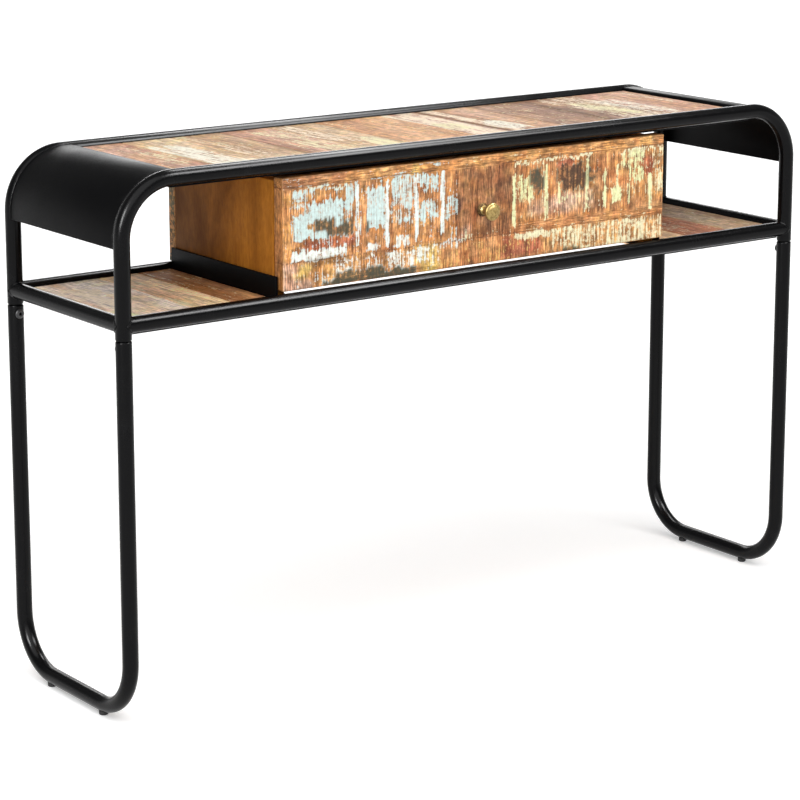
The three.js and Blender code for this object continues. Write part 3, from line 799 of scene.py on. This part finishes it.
def make_leg_screws():
    for row, _, node, low, high in leg_fittings("leg_screw"):
        toward, face, tip = (1, high[1], low[1]) if row == "front" else (-1, low[1], high[1])
        under = face - toward * SCREW_HEAD
        origin = np.array([(low[0] + high[0]) / 2, under, (low[2] + high[2]) / 2])
        length = abs(under - tip)
        radius = (high[0] - low[0]) / 2
        profile = button_head(radius, SCREW_HEAD)
        profile += [(radius, 0), (SCREW_SHANK_R, 0), (SCREW_SHANK_R, -length + 1),
                    (SCREW_SHANK_R - 0.8, -length), (0, -length)]
        shape = turned(profile, origin, Y * toward)
        new_piece(node + "_bolt", shape, BLACK_SCREW, "frame", "screw_steel", [node], merge=True)


def make_glides():
    """Pads with a peg, whose rim follows the foot bar that they sit under."""
    for _, _, node, low, high in leg_fittings("glide"):
        x, y = (low[0] + high[0]) / 2, (low[1] + high[1]) / 2
        radius = (high[0] - low[0]) / 2
        profile = [(0, 0.6), (radius - 3, 0.6), (radius - 2.4, 0), (radius - 1.2, 0), (radius, 1.3),
                   (radius, 5.9), (radius - 0.6, 6.5), (3, 6.5), (2.5, 8), (2.3, 10), (0, 10)]
        points, faces = turned(profile, np.array([x, y, 0.0]), Z)
        saddle = FOOT_Z - np.sqrt(np.maximum((TUBE_R + 0.2) ** 2 - (points[:, 0] - x) ** 2, 0))
        rim = (points[:, 2] > 4) & (points[:, 2] < 7)
        points[rim, 2] = np.minimum(points[rim, 2], saddle[rim])
        new_piece(node + "_pad", (points, faces), GLIDE_PLASTIC, "frame", "glide_plastic",
                  [node], merge=True)


# ---------------- planks

# The top from left to right and from front to back, in millimetres from where the left bend
# starts and from the front ends of the planks.
TOP_TINTS = ["rose", "pale_tan", "tan", "rose", "pale_tan", "apricot", "rose", "pink_tan",
             "grey_tan", "grey_tan", "rose"]
TOP_PAINT = patch_list([
    ("ivory", 92, 150, 16, 196, 0.8), ("straw", 60, 92, 60, 150, 0.4),
    ("parchment", 150, 236, -9, 36, 0.5), ("parchment", 176, 214, 60, 150, 0.35),
    ("straw", 284, 340, 20, 240, 0.5), ("parchment", 330, 372, 90, 270, 0.5),
    ("straw", 372, 404, 10, 116, 0.8), ("parchment", 534, 590, -9, 274, 0.8),
    ("straw", 540, 575, 90, 150, 0.8), ("parchment", 603, 626, 20, 274, 0.62),
    ("ivory", 608, 652, 50, 130, 0.8), ("ivory", 690, 760, -9, 22, 0.5),
    ("parchment", 822, 902, -9, 256, 0.56), ("straw", 836, 880, 60, 200, 0.7),
    ("ivory", 890, 935, 30, 200, 0.55), ("parchment", 986, 1000, 120, 260, 0.4),
])
TOP_DIRT = patch_list([
    ("umber", 84, 96, -9, 120, 0.55), ("umber", 243, 258, -9, 130, 0.6),
    ("umber", 592, 604, -9, 274, 0.9), ("umber", 778, 806, -9, 274, 0.5),
    ("umber", 806, 822, 60, 274, 0.3), ("umber", 1010, 1034, -9, 274, 0.3),
])

# The shelf on each side of the drawer from left to right, in millimetres from the middle of the
# table and from the front ends of the planks.
SHELF_TINTS = {"left": ["lilac", "sand", "brown"], "right": ["sand", "russet", "tan"]}
SHELF_PAINT = patch_list([
    ("parchment", -575, -500, 60, 220, 0.42), ("cream", -480, -430, 20, 90, 0.3),
    ("lime", -566, -540, -9, 60, 0.4), ("rust", -420, -390, -9, 40, 0.6),
    ("cream", 420, 470, 60, 200, 0.3),
])


def plank_look(tint, paint, dirt, left_edge, seed):
    def look(points):
        """Paint ends raggedly along the grain, and cleanly across it."""
        ragged = 60 * (soft_noise(points, np.array([3.5, 60, 60]), seed) - 0.5)
        wander = 9 * (soft_noise(points, np.array([14, 45, 45]), seed + 1) - 0.5)
        u = points[:, 0] - left_edge + wander
        v = points[:, 1] - TOP_LOW[1] + ragged
        cloud = soft_noise(points, np.array([38, 150, 150]), seed + 2) - 0.5
        wood = COLOURS[tint] * (1 + 0.9 * cloud[:, None] * np.array([0.5, 0.8, 1.0]))
        blush = smooth(soft_noise(points, np.array([30, 90, 90]), seed + 3) * 3 - 1.6)
        wood += (COLOURS["apricot"] - wood) * 0.5 * blush[:, None]
        colour, cover = paint_over(u, v, COLOURS["cream"], paint, 9)
        cover += 0.3 * smooth(soft_noise(points, np.array([22, 70, 70]), seed + 4) * 3 - 1.7)
        soil = paint_over(u, v, COLOURS["umber"], dirt, 5)[1]
        return wood, colour, cover, soil, 0 * u
    return look


def make_planks():
    for i, tint in enumerate(TOP_TINTS):
        node = f"top_plank_{i + 1}"
        look = plank_look(tint, TOP_PAINT, TOP_DIRT, -BEND_X, 20 + 10 * i)
        board(node + "_board", node_box(node), PLANK_CELL, BOARD_EASE, look, PLANK_WOOD, "frame",
              "top_wood", [node])
    for hand, tints in SHELF_TINTS.items():
        for i, tint in enumerate(tints):
            node = f"{hand}_shelf_plank_{i + 1}"
            look = plank_look(tint, SHELF_PAINT, [], 0, 200 + 10 * i)
            board(node + "_board", node_box(node), PLANK_CELL, BOARD_EASE, look, PLANK_WOOD, "frame",
                  "shelf_wood", [node])


# ---------------- drawer housing

def make_housing():
    for node in ("housing_left_side", "housing_right_side"):
        block_piece(node, "_panel", PANEL_WOOD, "frame", "housing_wood", bevel=0.8)
    for node in ("left_drawer_runner", "right_drawer_runner"):
        block_piece(node, "_strip", BOX_WOOD, "frame", "housing_wood", bevel=0.8)

    def back_look(points):
        zero = 0 * points[:, 0]
        cloud = soft_noise(points, np.array([160, 40, 24]), 71) - 0.5
        wood = COLOURS["ochre"] * (1 + 0.5 * cloud[:, None])
        colour = np.tile(COLOURS["moss"], (len(points), 1)) * (1.2 + 0.8 * cloud[:, None])
        return wood, colour, zero + 0.6 + 0.5 * cloud, zero + 0.1, zero

    node = "housing_back"
    board(node + "_board", node_box(node), (7.0, 4.0, 5.0), BOARD_EASE, back_look, BACK_WOOD, "frame",
          "back_wood", [node])


# ---------------- drawer front

FRONT_H = FRONT_HIGH[2] - FRONT_LOW[2]
LOWER_SEAM = 0.243 * FRONT_H
UPPER_SEAM = 0.91 * FRONT_H
FRONT_CELL = (2.4, 5.5, 2.4)
FRONT_EASE = 1.5
SEAM_HALF = 1.6
FACE_DEPTH = 1.4

# The drawer front in millimetres from its lower left corner: its wood first, then its paint.
FRONT_TINTS = patch_list([
    ("orange", -9, 678, 30, 160, 1), ("ochre", -9, 16, 30, 160, 1), ("ochre", 38, 106, 118, 134, 1),
    ("rust", 40, 118, 52, 66, 1), ("brown", 290, 400, 36, 140, 1), ("dark_brown", 292, 300, 74, 96, 1),
    ("orange", 400, 690, 36, 60, 1), ("brown", 470, 560, 56, 90, 0.7), ("rust", 478, 500, 124, 138, 1),
    ("rust", 636, 660, 98, 126, 1), ("orange", 606, 640, 52, 84, 1), ("ochre", 655, 690, 60, 140, 1),
    ("brown", -9, 108, 138, 160, 0.6), ("ochre", 108, 690, 138, 160, 1),
    ("yellow", 216, 232, 140, 156, 1), ("pink_tan", -9, 46, -9, 37, 1), ("yellow", 20, 46, 16, 35, 1),
    ("ochre", 46, 226, -9, 37, 1), ("yellow", 226, 260, -9, 37, 1), ("orange", 260, 440, -9, 37, 1),
    ("ochre", 440, 690, -9, 37, 1), ("rust", 372, 448, 4, 34, 0.8), ("pink_tan", 300, 318, 38, 56, 0.9),
    ("pink_tan", 424, 540, 60, 84, 0.55),
])
FRONT_PAINT = patch_list([
    # Where nothing else is named, the right half's loose flakes are cream.
    ("cream", 320, 690, -9, 160, 0.0),
    # The left half: sky and chalk, with dark old paint under them.
    ("sky", 16, 112, 66, 138, 1.0), ("bare", 40, 104, 118, 133, 0.1), ("bare", 14, 40, 104, 128, 0.45),
    ("bare", 38, 62, 80, 90, 0.35), ("slate", 52, 86, 76, 91, 0.86),
    ("slate", 72, 100, 66, 80, 0.9), ("bare", 34, 116, 54, 64, 0.12), ("chalk", 14, 104, 38, 53, 0.95),
    ("sky", 112, 124, 110, 138, 0.7), ("bare", 98, 118, 64, 104, 0.3), ("slate", 98, 116, 66, 88, 0.8),
    ("chalk", 120, 126, 48, 132, 1.05), ("sky", 137, 168, 72, 126, 0.95),
    ("chalk", 138, 162, 38, 51, 0.85), ("slate", 136, 142, 68, 82, 0.8),
    ("chalk", 170, 176, 40, 138, 1.1), ("sky", 180, 219, 72, 138, 0.62),
    ("chalk", 187, 211, 40, 56, 0.8), ("chalk", 220, 226, 48, 138, 1.1),
    ("sky", 228, 262, 112, 138, 0.8), ("sky", 228, 262, 72, 100, 0.75),
    ("chalk", 265, 272, 50, 138, 1.15), ("sky", 274, 297, 72, 100, 0.7),
    ("chalk", 270, 300, 36, 41, 0.7), ("cream", 303, 319, 37, 50, 0.55),
    # Bare wood round the knob, then the right half: lime, with two dark stains.
    ("bare", 298, 392, 52, 138, -0.4), ("lime", 392, 399, 48, 122, 1.1),
    ("lime", 403, 431, 80, 118, 0.72), ("slate", 424, 446, 98, 128, 0.72),
    ("slate", 430, 452, 90, 118, 0.8), ("lime", 452, 458, 52, 128, 1.1),
    ("lime", 476, 482, 74, 128, 0.85), ("umber", 474, 524, 104, 128, 0.72),
    ("umber", 484, 536, 88, 114, 0.78), ("umber", 496, 516, 94, 126, 0.95),
    ("lime", 470, 520, 74, 82, 0.45), ("lime", 529, 533, 56, 132, 1.0),
    ("slate", 533, 558, 98, 116, 0.5), ("lime", 562, 568, 60, 112, 1.05),
    ("lime", 578, 597, 62, 84, 1.0), ("lime", 586, 590, 80, 116, 1.0),
    ("lime", 594, 640, 112, 136, 0.72), ("lime", 610, 642, 90, 114, 0.6),
    ("bare", 637, 658, 100, 126, 0.05), ("lime", 609, 614, 60, 90, 0.9),
    ("lime", 649, 655, 46, 100, 1.1), ("cream", 658, 690, 70, 140, 0.45),
    # Below the top strip.
    ("cream", 398, 540, 135, 140, 0.95), ("cream", 590, 690, 134, 139, 0.8),
    ("bare", 120, 400, 139, 160, 0.05), ("cream", -9, 108, 136, 140, 0.3),
    # The bottom strip.
    ("chalk", 80, 172, 14, 35, 0.4), ("chalk", 172, 298, 12, 36, 0.52),
    ("slate", 64, 224, -9, 11, 0.95), ("slate", 84, 170, 6, 17, 0.8), ("frost", 46, 80, 8, 18, 0.4),
    ("yellow", 262, 440, -9, 30, 0.2), ("cream", 398, 515, 26, 36, 0.9),
    ("cream", 463, 690, -9, 36, 0.56), ("moss", 455, 520, -9, 7, 0.6),
])
FRONT_DIRT = patch_list([
    ("umber", 286, 392, 38, 138, 0.18), ("umber", 600, 650, 50, 80, 0.2),
    ("umber", 40, 100, 30, 40, 0.6),
])
# The grain lies across in the top strip, in the strip under the right half and in the dark lower
# edge. Elsewhere it stands upright.
FRONT_TURNED = patch_list([
    ("bare", -9, 690, 138, 160, 0.9), ("bare", 400, 690, 36, 52, 0.8), ("bare", 60, 260, -9, 12, 0.5),
])


def front_look(points):
    """Paint that ends raggedly along the saw marks, over wood whose colour wanders."""
    ragged = 15 * (soft_noise(points, np.array([2.6, 30, 22]), 51) - 0.5)
    ragged += 9 * (soft_noise(points, np.array([11, 30, 9]), 52) - 0.5)
    wander = 1.6 * (soft_noise(points, np.array([5, 30, 9]), 53) - 0.5)
    drift = 22 * (soft_noise(points, np.array([24, 30, 11]), 55) - 0.5)
    u = points[:, 0] - FRONT_LOW[0]
    v = points[:, 2] - FRONT_LOW[2]
    in_middle = patch_weight(u, v, Patch("", -99, 990, LOWER_SEAM, UPPER_SEAM, 1), 6)
    shifted = v + ragged * (0.6 + 0.4 * in_middle)
    wood = paint_over(u + drift, v + 0.5 * ragged * in_middle, COLOURS["orange"], FRONT_TINTS, 10)[0]
    cloud = soft_noise(points, np.array([15, 30, 11]), 54) - 0.5
    upright = soft_noise(points, np.array([4.5, 30, 46]), 56) - 0.5
    wood *= 1 + 1.1 * cloud[:, None] * np.array([0.45, 0.8, 1.05])
    wood *= 1 + 0.7 * upright[:, None] * np.array([0.6, 0.9, 1.0])
    paint, cover = paint_over(u + wander, shifted, COLOURS["sky"], FRONT_PAINT, 4.5)
    soil = paint_over(u, v, COLOURS["umber"], FRONT_DIRT, 8)[1]
    turned_grain = paint_over(u, v, COLOURS["umber"], FRONT_TURNED, 4)[1]
    behind = points[:, 1] > FRONT_LOW[1] + FACE_DEPTH
    wood[behind] = COLOURS["walnut"] * (0.9 + 0.3 * cloud[behind, None])
    cover[behind] = -0.5
    return wood, paint, cover, soil, turned_grain


def make_drawer_front():
    seams = [(2, FRONT_LOW[2] + place, SEAM_HALF) for place in (LOWER_SEAM, UPPER_SEAM)]
    board("drawer_front_board", (FRONT_LOW, FRONT_HIGH), FRONT_CELL, FRONT_EASE, front_look,
          FRONT_WOOD, "drawer", "drawer_paint", ["drawer_front"], seams=seams)


def make_drawer_box():
    """Two grooved sides, a back and a floor."""
    runner_low, runner_high = node_box("right_drawer_runner")
    for hand, side in (("left", -1), ("right", 1)):
        node = f"drawer_{hand}_side"
        low, high = node_box(node)
        outer, inner = (low[0], high[0]) if side < 0 else (high[0], low[0])
        floor = outer - side * GROOVE_DEPTH
        top, bottom = runner_high[2] + GROOVE_PLAY, runner_low[2] - GROOVE_PLAY
        outline = [(inner, low[2]), (outer, low[2]), (outer, bottom), (floor, bottom), (floor, top),
                   (outer, top), (outer, high[2]), (inner, high[2])]
        shape = prism(outline, low[1], high[1])
        new_piece(node + "_wall", shape, BOX_WOOD, "drawer", "drawer_wood", [node], bevel=1.0)
    for node in ("drawer_back", "drawer_floor"):
        block_piece(node, "_wall", BOX_END_WOOD, "drawer", "drawer_wood", bevel=0.8)


# ---------------- knob

def petals(turn):
    """Scales a circle to the rosette's scalloped edge."""
    return 1 + 0.07 * np.abs(np.cos(turn * 6)) - 0.07


def make_rosette(centre, foot):
    low, high = node_box("knob_rosette")
    radius = (high[0] - low[0]) / 2
    profile = [(0, 0.3), (radius, 0.3, petals), (radius, 0.9, petals), (radius * 0.94, 1.5, petals),
               (radius * 0.84, 1.5, petals), (radius * 0.76, 2.3), (radius * 0.7, 2.9),
               (radius * 0.55, foot), (0, foot)]
    # The rosette takes the darker brass copy, which is painted shade.
    new_piece("knob_rosette_plate", turned(profile, centre, -Y, 96), ROSETTE_SHADE_BRASS, "drawer",
              "rosette_brass", ["knob_rosette"], merge=True, sharp=50)


def arc(radius, along, size, start, end, count):
    """Part of a profile that is round, between two angles from the direction of the radius."""
    return [(radius + size * math.cos(turn), along + size * math.sin(turn))
            for turn in np.linspace(start, end, count)]


def make_turned_knob(centre, foot, radius, reach):
    """A slim neck that widens to a round rim and a stepped, slightly domed face."""
    neck = [(0, 0), (6.4, 0), (6.6, 0.6), (6.0, 1.4), (5.2, 2.6), (4.8, 5), (4.7, 7.5), (5.0, 9.6),
            (5.9, 11.6), (7.4, 12.9), (10.4, 14), (10.9, 14.4)]
    face = [(0.8, 2.0), (0.74, 2.1), (0.68, 1.5), (0.5, 0.7), (0.28, 0.2), (0.1, 0), (0, 0)]
    profile = [(size, foot + along) for size, along in neck]
    profile += arc(radius - 1.2, reach - 6.2, 1.2, 0.2 - math.pi / 2, 0, 5)
    profile += arc(radius - 1.6, reach - 4.2, 1.6, 0, 1.25, 6)
    profile += [(radius * share, reach - drop) for share, drop in face]
    new_piece("knob_turned", turned(profile, centre, -Y, 72), AGED_BRASS, "drawer", "knob_brass",
              ["knob"], merge=True, sharp=40)


def make_knob_screw(height):
    low, high = node_box("knob_screw")
    origin = np.array([0.0, FRONT_HIGH[1] + 0.3, height])
    length = origin[1] - low[1]
    profile = button_head((high[0] - low[0]) / 2, high[1] - origin[1])
    profile += [(2, 0), (2, -length), (0, -length)]
    new_piece("knob_screw_bolt", turned(profile, origin, Y), ZINC, "drawer", "screw_steel",
              ["knob_screw"], merge=True)


def make_knob():
    low, high = node_box("knob")
    face = FRONT_LOW[1]
    centre = np.array([0.0, face, (low[2] + high[2]) / 2])
    foot = face - node_box("knob_rosette")[0][1]
    make_rosette(centre, foot)
    make_turned_knob(centre, foot, (high[0] - low[0]) / 2, face - low[1])
    make_knob_screw(centre[2])


# ---------------- stage, light and camera

# Half the floor's side. This and what follows is in metres.
FLOOR = 60.0

# Strip lights: where each stands, what it aims at, its length and height, and its power.
STRIP_LIGHTS = {
    "rails": ((1.2, 0.35, 2.8), (0.1, 0.0, 0.75), (1.6, 0.5), 85),
    "rails_front": ((0.9, -1.2, 2.2), (-0.3, -0.1, 0.6), (1.1, 0.8), 100),
    "sheets": ((1.7, 2.3, 1.5), (0.0, 0.0, 0.75), (2.2, 0.5), 18),
    "feet": ((1.25, 2.3, 1.15), (0.0, 0.0, 0.05), (2.0, 0.5), 9),
    "front_left": ((-2.6, -1.0, 1.6), (-0.5, 0.0, 0.6), (0.6, 1.0), 120),
}
SUN_POWER = 3.4
SUN_SPREAD = math.radians(75)
SUN_TOWARD = (0.5, 0.7, -1.0)

CAMERA_PLACE = (-2.4034, -3.1979, 1.3313)
CAMERA_TURN = 0.6356
CAMERA_DIP = 0.2145
CAMERA_LENS = 126.2
CAMERA_SHIFT = -0.1


def make_floor():
    s = Shader("studio_floor", Specular_IOR_Level=0.1, Emission_Color=(1, 1, 1, 1),
               Emission_Strength=0.25)
    cloud = s.noise(s.place(), 0.8, 3)
    colour = s.mix(cloud, rgba(linear(249, 249, 249)), rgba(linear(252, 252, 252)))
    s.finish(Base_Color=colour, Roughness=s.span(cloud, 0, 1, 0.85, 0.95))
    mesh = bpy.data.meshes.new("floor")
    corners = [(-FLOOR, -FLOOR, 0), (FLOOR, -FLOOR, 0), (FLOOR, FLOOR, 0), (-FLOOR, FLOOR, 0)]
    mesh.from_pydata(corners, [], [(0, 1, 2, 3)])
    mesh.materials.append(s.material)
    add_object("floor", mesh)


def facing(direction):
    """The rotation that turns a light or a camera, which looks along -Z, to a direction."""
    return Vector(direction).to_track_quat("-Z", "Y").to_euler()


def add_strip_light(name, place, aim, size, power):
    """A light that only shows as a highlight on gloss."""
    data = bpy.data.lights.new(name, "AREA")
    data.shape = "RECTANGLE"
    data.size, data.size_y = size
    data.energy = power
    lamp = add_object(name, data)
    lamp.location = place
    lamp.visible_camera = False
    lamp.visible_diffuse = False
    lamp.rotation_euler = facing(Vector(aim) - Vector(place))


def make_world():
    """A studio that is bright round the horizon and darker above."""
    world = bpy.data.worlds.new("studio")
    world.use_nodes = True
    tree = world.node_tree
    direction = tree.nodes.new("ShaderNodeTexCoord").outputs["Generated"]
    height = tree.nodes.new("ShaderNodeSeparateXYZ")
    tree.links.new(direction, height.inputs[0])
    fade = tree.nodes.new("ShaderNodeMapRange")
    fade.interpolation_type = "SMOOTHSTEP"
    for socket, value in (("From Min", 0.04), ("From Max", 0.26), ("To Min", 1.0), ("To Max", 0.3)):
        fade.inputs[socket].default_value = value
    tree.links.new(height.outputs["Z"], fade.inputs["Value"])
    tree.links.new(fade.outputs[0], tree.nodes["Background"].inputs["Strength"])
    tree.nodes["Background"].inputs["Color"].default_value = (1, 1, 1, 1)
    bpy.context.scene.world = world
    bpy.context.scene.view_settings.view_transform = "Standard"


def make_lights():
    sun = bpy.data.lights.new("sky_light", "SUN")
    sun.energy = SUN_POWER
    sun.angle = SUN_SPREAD
    add_object("sky_light", sun).rotation_euler = facing(SUN_TOWARD)
    for name, settings in STRIP_LIGHTS.items():
        add_strip_light(name, *settings)


def make_camera():
    data = bpy.data.cameras.new("camera")
    data.sensor_width = 36
    data.lens = CAMERA_LENS
    data.shift_y = CAMERA_SHIFT
    data.clip_end = 200
    camera = add_object("camera", data)
    camera.location = CAMERA_PLACE
    camera.rotation_euler = Euler((math.pi / 2 - CAMERA_DIP, 0, -CAMERA_TURN))
    bpy.context.scene.camera = camera


make_camera()
make_hoops_and_legs()
rail_lines = make_lower_rails()
make_welds(rail_lines, make_end_sheets())
make_ledges_and_angles()
make_spigots()
make_leg_screws()
make_glides()
make_planks()
make_housing()
make_drawer_front()
make_drawer_box()
make_knob()
make_floor()
make_world()
make_lights()
